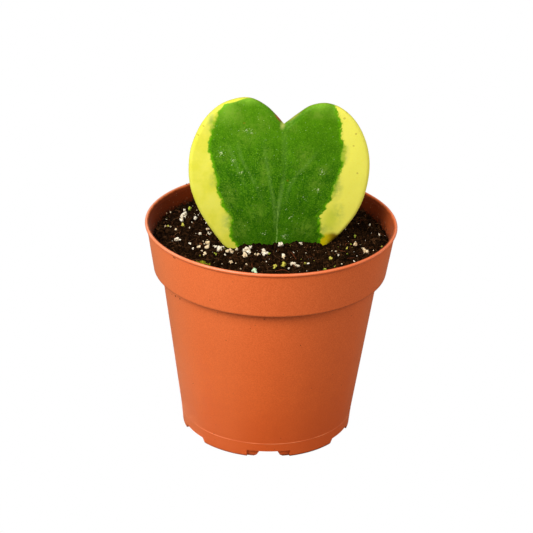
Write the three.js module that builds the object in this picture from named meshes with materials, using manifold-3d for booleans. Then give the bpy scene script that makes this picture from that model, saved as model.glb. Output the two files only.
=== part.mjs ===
// A single-leaf hoya in a 4-inch terracotta-coloured plastic nursery pot.
// Three pieces: the moulded pot, the potting mix with its perlite grains, and the
// heart-shaped leaf, whose stalk and roots stand in the mix.
// Millimetres, +Z up, origin at the middle of the pot's foot. The leaf faces -Y.

import * as THREE from "three";
import { mergeVertices } from "three/addons/utils/BufferGeometryUtils.js";
import Module from "manifold-3d";

const wasm = await Module();
wasm.setup();

// ---------------------------------------------------------------- driving dimensions

const GAP = 0.3; // left between pieces that touch
const ROUND_STEPS = 72; // facets round the pot and the potting mix

const POT = {
  height: 90,
  rimRadius: 51,
  lipRadius: 0.72, // the half-round bead along the rim
  lipDrop: 1.8, // from the top of the bead to the groove under it
  collarTopRadius: 50.2,
  collarFootRadius: 47.3,
  collarFootHeight: 69.8,
  bodyTopRadius: 44.2,
  mouldLineRadius: 35.4, // the fine ridge where the foot insert met the mould
  mouldLineHeight: 6.6,
  mouldRidge: 0.15,
  footRadius: 34.8,
  footInnerRadius: 32.5,
  edgeChamfer: 0.4,
  wall: 1.1,
  floorUnderside: 5.2,
  floorTop: 6.6,
  floorCorner: 1.2, // the slope between the floor and the wall, inside
};

// The foot is notched six times, by turns with tabs and wide open. A notch with tabs is
// a shallow recess in the outside of the foot, with a gap through the foot in its middle.
const NOTCH = {
  count: 6,
  firstAngle: 2.3, // degrees from the front, towards +X
  height: 3,
  recessDepth: 1.1,
  recessHalfAngle: 14.6,
  gapHalfTop: 3.5,
  gapHalfFoot: 5.9,
  wideHeight: 2.3,
  wideHalfTop: 6.4,
  wideHalfFoot: 8,
};

const DRAIN = { radius: 3.5, ringRadius: 26, middleRadius: 4, sides: 20 };

const MIX = {
  level: 81.6, // height of the surface at the middle of the pot
  rise: 0.05, // the surface climbs this much for each millimetre towards the back
  mound: 0.6, // the mix is pressed up round the leaf
  moundSpread: 5,
  rings: 12,
};

// Heaps and hollows of the surface: x, y, height and spread.
const HEAPS = [
  [-15.5, -8, -1.5, 4.5], [12, -7, 1.6, 6.5], [-30, 14, 0.8, 8], [30, -14, 0.7, 7], [-4, -27, 0.8, 7],
];

// The heart: distance from the midrib and height above the mix, notch first, then over
// the lobe and down the margin to the stalk's round end.
const LEAF_RIGHT = [
  [-0.6, 51.8], [4.8, 56.7], [9.4, 60.1], [15.6, 61.4], [22.2, 59.4], [28.6, 54],
  [33.6, 45.6], [36.1, 36], [35.9, 25], [33.4, 15.6], [28.4, 6.8], [21.5, -1.4],
  [13.6, -8.6], [6.8, -14.8], [3.3, -20], [2.5, -25.5], [2.2, -29.8], [0, -32],
];
const LEAF_LEFT = [
  [0.6, 51.8], [4.4, 55.4], [8.8, 58.7], [14.6, 60.9], [20.6, 60], [27.2, 56.2],
  [32.6, 49], [35.8, 39], [36.1, 30], [34.4, 21], [30.2, 12], [24, 3.4],
  [16.6, -5], [9.2, -12], [4.2, -17.8], [2.6, -24], [2.2, -29.8], [0, -32],
];
const LEAF = {
  foot: [-0.3, -4, 81.5], // where the midrib leaves the mix
  tilt: 5.5, // degrees, the heart leans to its right in its own plane
  yaw: 5, // degrees, its left margin is nearer the front
  bow: 2.5, // how far the margins, the tip and the lobes curl back
  bowHalfWidth: 37,
  bowHalfHeight: 40,
  bowMiddle: 25,
  halfThickness: 1.8,
  edgeHalfThickness: 1.5,
  edgeRound: 1.7, // width of the rounded margin
  baseHalfWidth: 22, // of the blade, where it meets the mix
  notchUp: 51.8,
  midribTop: 48.8,
  midribFoot: -29,
  midribSide: 2.2, // how far to the right the midrib stands where it leaves the mix
  midribSwing: 2.8, // from there to the notch, back to the left
  stepsPerSide: 40,
  midribDepth: 0.35, // the midrib lies in a shallow trough on both faces
  midribHalfWidth: 2.6,
};

const ROOTS = { count: 5, radius: 0.6, start: -28, drop: 26, spread: 17, steps: 8, sides: 6 };

// Larger perlite grains, placed by eye: x, y and width.
const LARGE_GRAINS = [
  [-36, 26.5, 2.6], [-36.5, 22, 3.2], [-37, 17, 2.6], [-31, 18, 1.9], [-29, 3, 2.5],
  [-25.5, 5.5, 2.2], [-38, -3, 3.2], [-32.5, -7, 1.8], [-25.5, -9, 3.2], [-20.5, -12, 4.4],
  [-26.5, -17, 2], [-16.5, -14.5, 3], [-9.5, -12.5, 4.4], [-10.5, -17, 3], [-2.5, -14, 3.8],
  [4, -7, 2.4], [5.5, -16, 2.2], [5, -25.5, 2.9], [9.5, -24.5, 3.4], [-15.5, -24, 2.2],
  [-6, -31, 2.6], [37, -9, 3.2], [39, -10.5, 2.6], [34, -4, 2.2], [41, 16, 2.2],
];
const SMALL_GRAINS = { count: 34, least: 1.3, most: 2.4, seed: 20 };

// ---------------------------------------------------------------- tools for solids

const degrees = THREE.MathUtils.degToRad;

function solidOf(geometry) {
  const plain = geometry.index ? geometry.toNonIndexed() : geometry.clone();
  const positions = new THREE.BufferGeometry();
  positions.setAttribute("position", plain.getAttribute("position"));
  const merged = mergeVertices(positions, 1e-4);
  const corners = merged.index.array;
  const kept = [];
  for (let i = 0; i < corners.length; i += 3) {
    const [a, b, c] = corners.slice(i, i + 3);
    if (a !== b && b !== c && c !== a) kept.push(a, b, c);
  }
  return closedSolid(Array.from(merged.getAttribute("position").array), kept);
}

function closedSolid(coordinates, faces) {
  const solid = (turned) =>
    new wasm.Manifold(
      new wasm.Mesh({
        numProp: 3,
        vertProperties: new Float32Array(coordinates),
        triVerts: new Uint32Array(turned ? faces.toReversed() : faces),
      }),
    );
  const made = solid(false);
  return made.volume() > 0 ? made : solid(true);
}

// The largest body of a solid, without scraps that a cut left loose.
function largestBody(solid) {
  return solid.decompose().reduce((a, b) => (a.volume() > b.volume() ? a : b));
}

function meshOf(name, solid, material) {
  const { vertProperties, triVerts, numProp } = solid.getMesh();
  const positions = new Float32Array((vertProperties.length / numProp) * 3);
  for (let i = 0; i < positions.length; i++) {
    positions[i] = vertProperties[Math.floor(i / 3) * numProp + (i % 3)];
  }
  const geometry = new THREE.BufferGeometry();
  geometry.setAttribute("position", new THREE.BufferAttribute(positions, 3));
  geometry.setIndex(new THREE.BufferAttribute(triVerts, 1));
  geometry.computeVertexNormals();
  const mesh = new THREE.Mesh(geometry, material);
  mesh.name = name;
  return mesh;
}

// A repeatable source of numbers from 0 to 1.
function randomFrom(seed) {
  let state = seed;
  return () => {
    state = (state * 1664525 + 1013904223) % 4294967296;
    return state / 4294967296;
  };
}

function arcPoints(centreRadius, centreHeight, radius, fromDegrees, toDegrees, steps) {
  return Array.from({ length: steps + 1 }, (_, i) => {
    const angle = degrees(fromDegrees + ((toDegrees - fromDegrees) * i) / steps);
    return [centreRadius + radius * Math.cos(angle), centreHeight + radius * Math.sin(angle)];
  });
}

function turned(profile) {
  const points = profile.map(([radius, height]) => new THREE.Vector2(radius, height));
  const geometry = new THREE.LatheGeometry(points, ROUND_STEPS);
  geometry.rotateX(Math.PI / 2);
  return solidOf(geometry);
}

// ---------------------------------------------------------------- pot

// Inner radius of the collar, which widens towards the rim.
function collarInnerRadius(height) {
  const rise = POT.height - POT.lipDrop - POT.collarFootHeight;
  const share = (height - POT.collarFootHeight) / rise;
  return THREE.MathUtils.lerp(POT.collarFootRadius, POT.collarTopRadius, share) - POT.wall;
}

function potProfile() {
  const { height, lipRadius, lipDrop, wall, edgeChamfer, mouldLineHeight } = POT;
  const ledgeTop = POT.collarFootHeight + wall;
  const lipUnder = height - lipDrop;
  const lip = arcPoints(POT.rimRadius - lipRadius, height - lipRadius, lipRadius, -50, 180, 7);
  return [
    [0, POT.floorUnderside],
    [POT.footInnerRadius, POT.floorUnderside],
    [POT.footInnerRadius, 0],
    [POT.footRadius - wall, 0],
    [POT.footRadius, edgeChamfer],
    [POT.mouldLineRadius, mouldLineHeight - 2 * POT.mouldRidge],
    [POT.mouldLineRadius + POT.mouldRidge, mouldLineHeight],
    [POT.mouldLineRadius, mouldLineHeight + 2 * POT.mouldRidge],
    [POT.bodyTopRadius, POT.collarFootHeight],
    [POT.collarFootRadius - edgeChamfer, POT.collarFootHeight],
    [POT.collarFootRadius, POT.collarFootHeight + edgeChamfer],
    [POT.collarTopRadius, lipUnder],
    ...lip,
    [collarInnerRadius(lipUnder), lipUnder],
    [collarInnerRadius(ledgeTop), ledgeTop],
    [POT.bodyTopRadius - wall, ledgeTop],
    [POT.mouldLineRadius - wall, POT.floorTop + POT.floorCorner],
    [POT.mouldLineRadius - wall - POT.floorCorner, POT.floorTop],
    [0, POT.floorTop],
  ];
}

// Turns a shape built for the front of the pot round to one of the notches.
function atNotch(geometry, index) {
  const angle = NOTCH.firstAngle + (360 / NOTCH.count) * index;
  return solidOf(geometry.rotateZ(degrees(angle)));
}

function recessCutter(index) {
  const inner = POT.footRadius - NOTCH.recessDepth;
  const half = degrees(NOTCH.recessHalfAngle);
  const shape = new THREE.Shape();
  const front = -Math.PI / 2;
  shape.absarc(0, 0, POT.footRadius + 3, front - half, front + half, false);
  shape.absarc(0, 0, inner, front + half, front - half, true);
  const depth = NOTCH.height + 1;
  const geometry = new THREE.ExtrudeGeometry(shape, { depth, bevelEnabled: false, curveSegments: 6 });
  return atNotch(geometry.translate(0, 0, -1), index);
}

// A gap right through the foot, with sloping sides that flare where they meet the ground.
function gapCutter(halfTop, halfFoot, height, index) {
  const slope = (halfFoot - halfTop) / 2;
  const side = [[halfFoot, -0.5], [halfFoot - slope, height * 0.2], [halfTop, height]];
  const mirrored = side.toReversed().map(([across, up]) => [-across, up]);
  const shape = new THREE.Shape([...side, ...mirrored].map(([a, u]) => new THREE.Vector2(a, u)));
  const depth = POT.footRadius - POT.footInnerRadius + 4;
  const geometry = new THREE.ExtrudeGeometry(shape, { depth, bevelEnabled: false });
  geometry.rotateX(Math.PI / 2);
  geometry.translate(0, 2 - POT.footInnerRadius, 0);
  return atNotch(geometry, index);
}

function drainCutter(radius, distance, index) {
  const length = 3 * (POT.floorTop - POT.floorUnderside);
  const geometry = new THREE.CylinderGeometry(radius, radius, length, DRAIN.sides);
  geometry.rotateX(Math.PI / 2);
  geometry.translate(0, -distance, POT.floorTop);
  return atNotch(geometry, index);
}

function potSolid() {
  let pot = turned(potProfile());
  pot = pot.subtract(drainCutter(DRAIN.middleRadius, 0, 0));
  for (let index = 0; index < NOTCH.count; index++) {
    if (index % 2 === 0) {
      pot = pot.subtract(recessCutter(index));
      pot = pot.subtract(gapCutter(NOTCH.gapHalfTop, NOTCH.gapHalfFoot, NOTCH.height, index));
    } else {
      pot = pot.subtract(gapCutter(NOTCH.wideHalfTop, NOTCH.wideHalfFoot, NOTCH.wideHeight, index));
    }
    pot = pot.subtract(drainCutter(DRAIN.radius, DRAIN.ringRadius, index));
  }
  return pot;
}

// ---------------------------------------------------------------- leaf

// The leaf's own axes: across to its right, up along the midrib, and out of its front.
const yaw = degrees(LEAF.yaw);
const tilt = degrees(LEAF.tilt);
const level = new THREE.Vector3(Math.cos(yaw), Math.sin(yaw), 0);
const upright = new THREE.Vector3(0, 0, 1);
const leafFront = level.clone().cross(upright);
const leafAcross = level.clone().multiplyScalar(Math.cos(tilt)).addScaledVector(upright, -Math.sin(tilt));
const leafUp = level.clone().multiplyScalar(Math.sin(tilt)).addScaledVector(upright, Math.cos(tilt));

// How far the middle of the blade lies in front of the leaf's flat plane.
function bladeBow(across, up) {
  const sideways = (across / LEAF.bowHalfWidth) ** 2;
  const lengthways = ((up - LEAF.bowMiddle) / LEAF.bowHalfHeight) ** 2;
  return -LEAF.bow * (sideways + lengthways);
}

function leafPoint(across, up, out) {
  return new THREE.Vector3(...LEAF.foot)
    .addScaledVector(leafAcross, across)
    .addScaledVector(leafUp, up)
    .addScaledVector(leafFront, out + bladeBow(across, up));
}

// Points round the heart, from the notch down the right side and back up the left.
function heartOutline() {
  const side = (points, sign) => {
    const curve = new THREE.SplineCurve(points.map(([a, u]) => new THREE.Vector2(sign * a, u)));
    return curve.getSpacedPoints(LEAF.stepsPerSide);
  };
  const right = side(LEAF_RIGHT, 1);
  const left = side(LEAF_LEFT, -1).toReversed();
  return [...right.slice(0, -1), ...left.slice(0, -1)];
}

// The outline moved in from the margin, or out of it where the distance is negative.
function insetOutline(outline, distance) {
  const count = outline.length;
  return outline.map((point, i) => {
    const before = outline[(i + count - 1) % count];
    const after = outline[(i + 1) % count];
    const along = after.clone().sub(before).normalize();
    return new THREE.Vector2(point.x + along.y * distance, point.y - along.x * distance);
  });
}

// Where the midrib stands at a height: straight up from the stalk, then over to the notch.
function midribAcross(up) {
  const share = THREE.MathUtils.clamp(up / LEAF.notchUp, 0, 1);
  const belowMix = THREE.MathUtils.clamp(up / LEAF.midribFoot, 0, 1);
  return LEAF.midribSide * (1 - belowMix) - LEAF.midribSwing * share ** 3;
}

// How far a face of the blade lies from its middle, less the trough along the midrib.
function faceDistance(point, half) {
  const aside = (point.x - midribAcross(point.y)) / LEAF.midribHalfWidth;
  const trough = LEAF.midribDepth * Math.exp(-(aside ** 2));
  return half - Math.min(trough, half / 2);
}

// The blade and stalk as rows of points on both faces. The rows follow the outline round
// the heart, step over the rounded margin and close in on the midrib. Grown by a little,
// the same shape is the hole that the leaf stands in.
function bladeSolid(grow) {
  const { edgeRound, edgeHalfThickness, halfThickness, stepsPerSide, midribTop, midribFoot } = LEAF;
  const outline = heartOutline();
  const count = outline.length;
  const midribIndex = (i) => Math.min(i, count - i);
  const midrib = outline.map((_, i) => {
    const up = THREE.MathUtils.lerp(midribTop, midribFoot, (midribIndex(i) / stepsPerSide) ** 1.5);
    return new THREE.Vector2(midribAcross(up), up);
  });

  const rows = [0.15, 0.48, 1].map((share) => ({
    points: insetOutline(outline, share * (edgeRound + grow) - grow),
    half: (edgeHalfThickness + grow) * Math.sqrt(1 - (1 - share) ** 2),
  }));
  const inner = rows.at(-1).points;
  for (const share of [0.68, 0.34]) {
    rows.push({
      points: inner.map((point, i) => midrib[i].clone().lerp(point, share)),
      half: THREE.MathUtils.lerp(halfThickness, edgeHalfThickness, share ** 2) + grow,
    });
  }

  const coordinates = [];
  const addPoint = (point, out) => {
    coordinates.push(...leafPoint(point.x, point.y, out).toArray());
    return coordinates.length / 3 - 1;
  };
  const margin = insetOutline(outline, -grow).map((point) => addPoint(point, 0));
  const faces = [];
  for (const side of [1, -1]) {
    const addFacePoint = (point, half) => addPoint(point, side * faceDistance(point, half));
    const midribRow = midrib
      .slice(0, stepsPerSide + 1)
      .map((point) => addFacePoint(point, halfThickness + grow));
    const rings = [
      margin,
      ...rows.map(({ points, half }) => points.map((point) => addFacePoint(point, half))),
      outline.map((_, i) => midribRow[midribIndex(i)]),
    ];
    const addTriangle = (a, b, c) => {
      if (a !== b && b !== c && c !== a) faces.push(...(side > 0 ? [a, b, c] : [a, c, b]));
    };
    for (let ring = 1; ring < rings.length; ring++) {
      const [outer, nearer] = [rings[ring - 1], rings[ring]];
      for (let i = 0; i < count; i++) {
        const next = (i + 1) % count;
        addTriangle(outer[i], outer[next], nearer[next]);
        addTriangle(outer[i], nearer[next], nearer[i]);
      }
    }
  }
  return closedSolid(coordinates, faces);
}

// Roots leave the end of the stalk, fan out and run down into the mix.
function rootSolid(index, grow) {
  const { count, radius, start, drop, spread, steps, sides } = ROOTS;
  const heading = (2 * Math.PI * (index + 0.3)) / count;
  const length = 1 + 0.25 * Math.sin(index * 2.4);
  const beginning = leafPoint(0, start, 0);
  const at = (out, down, bend) =>
    new THREE.Vector3(
      beginning.x + spread * length * out * Math.cos(heading + bend),
      beginning.y + spread * length * out * Math.sin(heading + bend),
      beginning.z - drop * length * down,
    );
  const tip = 1 + grow / drop;
  const path = new THREE.CatmullRomCurve3([
    beginning, at(0.12, 0.22, 0), at(0.5, 0.42, 0.25), at(0.75, 0.7, -0.1), at(tip, tip, 0.15),
  ]);
  const section = new THREE.Shape(
    Array.from({ length: sides }, (_, i) => {
      const angle = (2 * Math.PI * i) / sides;
      return new THREE.Vector2(Math.cos(angle), Math.sin(angle)).multiplyScalar(radius + grow);
    }),
  );
  return solidOf(new THREE.ExtrudeGeometry(section, { steps, extrudePath: path }));
}

function leafSolid(grow) {
  let leaf = bladeSolid(grow);
  for (let index = 0; index < ROOTS.count; index++) leaf = leaf.add(rootSolid(index, grow));
  return leaf;
}

// ---------------------------------------------------------------- potting mix

// Distance from the line along which the leaf meets the mix.
function leafLineDistance(x, y) {
  const fromFoot = new THREE.Vector2(x - LEAF.foot[0], y - LEAF.foot[1]);
  const along = new THREE.Vector2(level.x, level.y);
  const reach = THREE.MathUtils.clamp(fromFoot.dot(along), -LEAF.baseHalfWidth, LEAF.baseHalfWidth);
  return fromFoot.addScaledVector(along, -reach).length();
}

// Height of the lumpy surface: a level that climbs to the back, three sets of crossing
// waves, the low mound along the leaf, and the heaps.
function mixHeight(x, y) {
  const lumps =
    0.3 * Math.sin(0.27 * x + 1.3) * Math.sin(0.24 * y + 0.4) +
    0.35 * Math.sin(0.55 * x - 0.2 * y + 2) * Math.sin(0.5 * y + 0.3 * x) +
    0.25 * Math.sin(0.9 * x + 0.35 * y) * Math.sin(0.8 * y - 0.4 * x + 1);
  const hump = (height, distance, spread) => height * Math.exp(-((distance / spread) ** 2));
  const mound = hump(MIX.mound, leafLineDistance(x, y), MIX.moundSpread);
  const heaps = HEAPS.map(([u, v, height, spread]) => hump(height, Math.hypot(x - u, y - v), spread));
  return MIX.level + MIX.rise * y + lumps + mound + heaps.reduce((sum, heap) => sum + heap);
}

// A body of rings from the middle of the surface out to the wall, down it and in again.
function mixBody() {
  const edgeRadius = collarInnerRadius(MIX.level - 3) - GAP;
  const ledge = POT.collarFootHeight + POT.wall + GAP;
  const clear = POT.wall + GAP;
  const wallPoints = [
    [collarInnerRadius(ledge) - GAP, ledge],
    [POT.bodyTopRadius - clear, ledge],
    [POT.mouldLineRadius - clear, POT.floorTop + POT.floorCorner],
    [POT.mouldLineRadius - clear - POT.floorCorner, POT.floorTop + GAP],
  ];
  const surfaceRings = Array.from({ length: MIX.rings }, (_, i) => (edgeRadius * (i + 1)) / MIX.rings);
  const coordinates = [0, 0, mixHeight(0, 0)];
  const addRing = (radius, heightAt) => {
    const first = coordinates.length / 3;
    for (let i = 0; i < ROUND_STEPS; i++) {
      const angle = (2 * Math.PI * i) / ROUND_STEPS;
      const [x, y] = [radius * Math.cos(angle), radius * Math.sin(angle)];
      coordinates.push(x, y, heightAt(x, y));
    }
    return first;
  };
  const firsts = [
    ...surfaceRings.map((radius) => addRing(radius, mixHeight)),
    ...wallPoints.map(([radius, height]) => addRing(radius, () => height)),
  ];
  const bottom = coordinates.push(0, 0, POT.floorTop + GAP) / 3 - 1;
  const faces = [];
  for (let i = 0; i < ROUND_STEPS; i++) {
    const next = (i + 1) % ROUND_STEPS;
    faces.push(0, firsts[0] + i, firsts[0] + next);
    for (let ring = 1; ring < firsts.length; ring++) {
      const [inner, outer] = [firsts[ring - 1], firsts[ring]];
      faces.push(inner + i, outer + i, outer + next);
      faces.push(inner + i, outer + next, inner + next);
    }
    faces.push(bottom, firsts.at(-1) + next, firsts.at(-1) + i);
  }
  return closedSolid(coordinates, faces);
}

// One grain of perlite: a lumpy many-sided stone, a third of it sunk in the mix.
function grainSolid(x, y, width, random) {
  const geometry = new THREE.IcosahedronGeometry(width / 2, 0);
  geometry.scale(0.85 + 0.3 * random(), 0.85 + 0.3 * random(), 0.75 + 0.25 * random());
  geometry.rotateX(random() * Math.PI);
  geometry.rotateZ(random() * Math.PI);
  geometry.translate(x, y, mixHeight(x, y) + width * 0.16);
  return solidOf(geometry);
}

function scatteredGrains() {
  const random = randomFrom(SMALL_GRAINS.seed);
  const reach = collarInnerRadius(MIX.level) - GAP - SMALL_GRAINS.most;
  return Array.from({ length: SMALL_GRAINS.count }, () => {
    const radius = reach * Math.sqrt(random());
    const angle = 2 * Math.PI * random();
    const width = THREE.MathUtils.lerp(SMALL_GRAINS.least, SMALL_GRAINS.most, random());
    return [radius * Math.cos(angle), radius * Math.sin(angle), width];
  });
}

function mixSolid() {
  const random = randomFrom(7);
  let mix = mixBody();
  for (const [x, y, width] of [...LARGE_GRAINS, ...scatteredGrains()]) {
    mix = mix.add(grainSolid(x, y, width, random));
  }
  return largestBody(mix.subtract(leafSolid(GAP)));
}

// ---------------------------------------------------------------- the potted plant

const terracottaPlastic = new THREE.MeshStandardMaterial({ color: 0xd9663a, roughness: 0.5 });
const darkMix = new THREE.MeshStandardMaterial({ color: 0x2a1a12, roughness: 1 });
const leafSkin = new THREE.MeshStandardMaterial({ color: 0x4b8a12, roughness: 0.45 });

const pottedHoya = new THREE.Group();
pottedHoya.add(meshOf("pot", potSolid(), terracottaPlastic));
pottedHoya.add(meshOf("potting_mix", mixSolid(), darkMix));
pottedHoya.add(meshOf("leaf", leafSolid(0), leafSkin));

export default pottedHoya;
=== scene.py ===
"""A hoya cutting in a terracotta-coloured plastic nursery pot, dressed and lit.

Lengths are in millimetres and become metres where a mesh is made. The pot's axis is Z and
stands on Z = 0. The leaf faces -Y.
"""

import math
from functools import reduce
from types import SimpleNamespace

import bmesh
import bpy
import numpy as np
from mathutils import Matrix, Vector, noise


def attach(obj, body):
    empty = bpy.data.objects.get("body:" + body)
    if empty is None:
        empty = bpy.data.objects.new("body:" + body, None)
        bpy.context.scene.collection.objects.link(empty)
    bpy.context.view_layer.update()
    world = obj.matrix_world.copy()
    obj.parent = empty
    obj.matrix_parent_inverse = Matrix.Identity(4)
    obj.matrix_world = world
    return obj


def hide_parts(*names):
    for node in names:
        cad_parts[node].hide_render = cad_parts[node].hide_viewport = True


MM = 0.001
BODY = "root"

# ---------------------------------------------------------------- driving dimensions

CAMERA = SimpleNamespace(
    elevation=25.14,
    roll=1.55,
    distance=900,
    target=(-1.43, 0, 69.5),
    lens=149.1,
)

POT = SimpleNamespace(
    height=90,
    rim_radius=50.97,
    lip_radius=0.72,
    lip_drop=1.8,
    collar_top_radius=50.2,
    collar_foot_radius=47.3,
    collar_foot_height=69.8,
    body_top_radius=44.2,
    mould_line_radius=35.4,
    mould_line_height=6.6,
    mould_ridge=0.12,
    foot_radius=34.8,
    foot_inner_radius=32.5,
    wall=1.1,
    floor_underside=5.2,
    floor_top=6.6,
    middle_hole_radius=4,
    round_steps=288,
    sharp_angle=32,
)

# Six notches in the foot, by turns a recess with a gap in its middle and one wide gap.
NOTCH = SimpleNamespace(
    count=6,
    first_angle=2.3,
    height=3,
    recess_depth=1.1,
    recess_half_angle=14.6,
    gap_half_top=3.5,
    gap_half_foot=5.9,
    wide_height=2.3,
    wide_half_top=6.4,
    wide_half_foot=8,
)
DRAIN = SimpleNamespace(radius=3.5, ring_radius=26)

# The mix rises a little to the back and is heaped along the leaf. A gap keeps it clear of
# the pot, and its surface is as wide as the collar's inside at edge_depth under its level.
MIX = SimpleNamespace(
    level=81.6,
    rise=0.05,
    mound=0.6,
    mound_spread=5,
    gap=0.3,
    bevel=1.2,
    edge_depth=3,
    rings=100,
    round_steps=576,
)
# Heaps and hollows of the mix: x, y, height and spread.
HEAPS = [
    (-15.5, -6.5, -2.4, 4.6),
    (11.5, -6.5, 0.8, 6),
    (22.8, -3.5, -1.6, 2.8),
    (-30, 14, 0.8, 8),
    (30, -14, 0.7, 7),
    (-4, -27, 0.8, 7),
]

# The heart: distance from the middle and height above the mix, from the notch over the
# lobe and down the margin to the stalk's round end.
LEAF_RIGHT = [
    (-0.6, 51.8), (4.8, 56.7), (9.4, 60.1), (15.6, 61.4), (22.2, 59.4), (28.6, 54),
    (33.6, 45.6), (36.1, 36), (35.9, 25), (33.4, 15.6), (28.4, 6.8), (21.5, -1.4),
    (13.6, -8.6), (6.8, -14.8), (3.3, -20), (2.5, -25.5), (2.2, -29.8), (0, -32),
]
LEAF_LEFT = [
    (-0.6, 51.8), (-4.4, 55.4), (-8.8, 58.7), (-14.6, 60.9), (-20.6, 60), (-27.2, 56.2),
    (-32.6, 49), (-35.8, 39), (-36.1, 30), (-34.4, 21), (-30.2, 12), (-24, 3.4),
    (-16.6, -5), (-9.2, -12), (-4.2, -17.8), (-2.6, -24), (-2.2, -29.8), (0, -32),
]
LEAF = SimpleNamespace(
    foot=(-0.3, -4, 81.5),
    tilt=5.5,
    yaw=5,
    bow=2.5,
    bow_half_width=37,
    bow_half_height=40,
    bow_middle=25,
    half_thickness=1.8,
    edge_half_thickness=1.5,
    edge_round=1.7,
    base_half_width=22,
    notch_up=51.8,
    midrib_top=48.8,
    midrib_foot=-29,
    midrib_side=2.2,
    midrib_swing=2.8,
    midrib_depth=0.35,
    midrib_half_width=2.6,
    steps_per_side=150,
    steps_to_midrib=30,
    unevenness=0.12,
)
ROOTS = SimpleNamespace(
    count=5,
    radius=0.6,
    start=-28,
    drop=26,
    spread=17,
    steps=24,
    sides=10,
)
MOSS = SimpleNamespace(place=(-26.6, -23.4), along=(0.75, -0.66), leaflets=150, radius=0.16)

# ---------------------------------------------------------------- tools for meshes


def link(piece):
    bpy.context.scene.collection.objects.link(piece)
    return piece


def make_mesh(name, points, faces):
    """A mesh from points in millimetres."""
    mesh = bpy.data.meshes.new(name)
    mesh.from_pydata((np.asarray(points, float) * MM).tolist(), [], faces)
    return mesh


def make_piece(name, points, faces, material, smooth=True):
    """A mesh object from points in millimetres, which rides on the plant's one body."""
    mesh = make_mesh(name, points, faces)
    mesh.materials.append(material)
    if smooth:
        mesh.shade_smooth()
    piece = link(bpy.data.objects.new(name, mesh))
    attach(piece, BODY)
    return piece


def give_values(piece, name, values):
    """Stores one number for each point, for a material to read."""
    stored = piece.data.attributes.new(name, "FLOAT", "POINT")
    stored.data.foreach_set("value", np.asarray(values, np.float32))


def round_angles(steps):
    return np.arange(steps) * 2 * math.pi / steps


def lathe(profile, steps):
    """A closed profile of (radius, height) turned round the Z axis."""
    radii, heights = np.array(profile).T
    angles = round_angles(steps)
    x = np.outer(np.cos(angles), radii)
    y = np.outer(np.sin(angles), radii)
    points = np.stack([x, y, np.broadcast_to(heights, x.shape)], -1).reshape(-1, 3)
    count = len(profile)
    faces = []
    for i in range(steps):
        here, there = i * count, (i + 1) % steps * count
        for j in range(count):
            k = (j + 1) % count
            faces.append((here + j, there + j, there + k, here + k))
    return points, faces


def rounded(corners, steps=6):
    """The points of a closed profile whose corners (radius, height, fillet) are rounded."""
    points = []
    for i, (radius, height, fillet) in enumerate(corners):
        here = Vector((radius, height))
        if fillet == 0:
            points.append(tuple(here))
            continue
        before = (Vector(corners[i - 1][:2]) - here).normalized()
        after = (Vector(corners[(i + 1) % len(corners)][:2]) - here).normalized()
        reach = fillet / math.tan(before.angle(after) / 2)
        start, end = here + before * reach, here + after * reach
        for step in range(steps + 1):
            share = step / steps
            points.append(tuple(start.lerp(here, share).lerp(here.lerp(end, share), share)))
    return points


def braced(profile, shortest=3, from_end=0.25):
    """Adds a point near each end of every long straight stretch, so it stays flat in shading."""
    points = []
    for here, there in zip(profile, profile[1:] + profile[:1]):
        here, there = Vector(here), Vector(there)
        points.append(tuple(here))
        run = there - here
        if run.length > shortest:
            step = run.normalized() * from_end
            points += [tuple(here + step), tuple(there - step)]
    return points


def arc(centre, radius, from_degrees, to_degrees, steps):
    angles = np.radians(np.linspace(from_degrees, to_degrees, steps + 1))
    return [(centre[0] + radius * math.cos(a), centre[1] + radius * math.sin(a)) for a in angles]


def prism(outline, low, high):
    """Points and faces of an outline of (x, y) pulled up from low to high."""
    count = len(outline)
    points = [(x, y, low) for x, y in outline] + [(x, y, high) for x, y in outline]
    faces = [(i, (i + 1) % count, count + (i + 1) % count, count + i) for i in range(count)]
    faces += [tuple(reversed(range(count))), tuple(range(count, 2 * count))]
    return points, faces


def unit(vectors):
    return vectors / np.linalg.norm(vectors, axis=1)[:, None]


def tube(path, radii, sides):
    """Points and faces of a closed tube along a path, with a radius at each of its points."""
    along = unit(np.gradient(path, axis=0))
    first = unit(np.cross(along, (0.31, 0.17, 0.93)))
    second = np.cross(along, first)
    angles = round_angles(sides)[:, None]
    round_path = np.cos(angles) * first[:, None] + np.sin(angles) * second[:, None]
    points = (path[:, None] + radii[:, None, None] * round_path).reshape(-1, 3)
    faces = []
    for ring in range(len(path) - 1):
        here, there = ring * sides, (ring + 1) * sides
        for i in range(sides):
            j = (i + 1) % sides
            faces.append((here + i, here + j, there + j, there + i))
    last = (len(path) - 1) * sides
    faces.append(tuple(reversed(range(sides))))
    faces.append(tuple(range(last, last + sides)))
    return points, faces


def joined(parts):
    """Points and faces of several (points, faces) as one."""
    points, faces, first = [], [], 0
    for part_points, part_faces in parts:
        points.append(np.asarray(part_points, float))
        faces.extend([tuple(first + i for i in face) for face in part_faces])
        first += len(part_points)
    return np.concatenate(points), faces


def ball(subdivisions):
    """Unit directions and triangles of an icosphere."""
    sphere = bmesh.new()
    bmesh.ops.create_icosphere(sphere, subdivisions=subdivisions, radius=1)
    directions = np.array([vertex.co[:] for vertex in sphere.verts])
    triangles = np.array([[vertex.index for vertex in face.verts] for face in sphere.faces])
    sphere.free()
    return directions, triangles


def repeat_faces(triangles, points_each, count):
    """The faces of count like copies whose points follow one another."""
    shifts = np.arange(count)[:, None, None] * points_each
    return (triangles[None] + shifts).reshape(-1, triangles.shape[1]).tolist()


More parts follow.
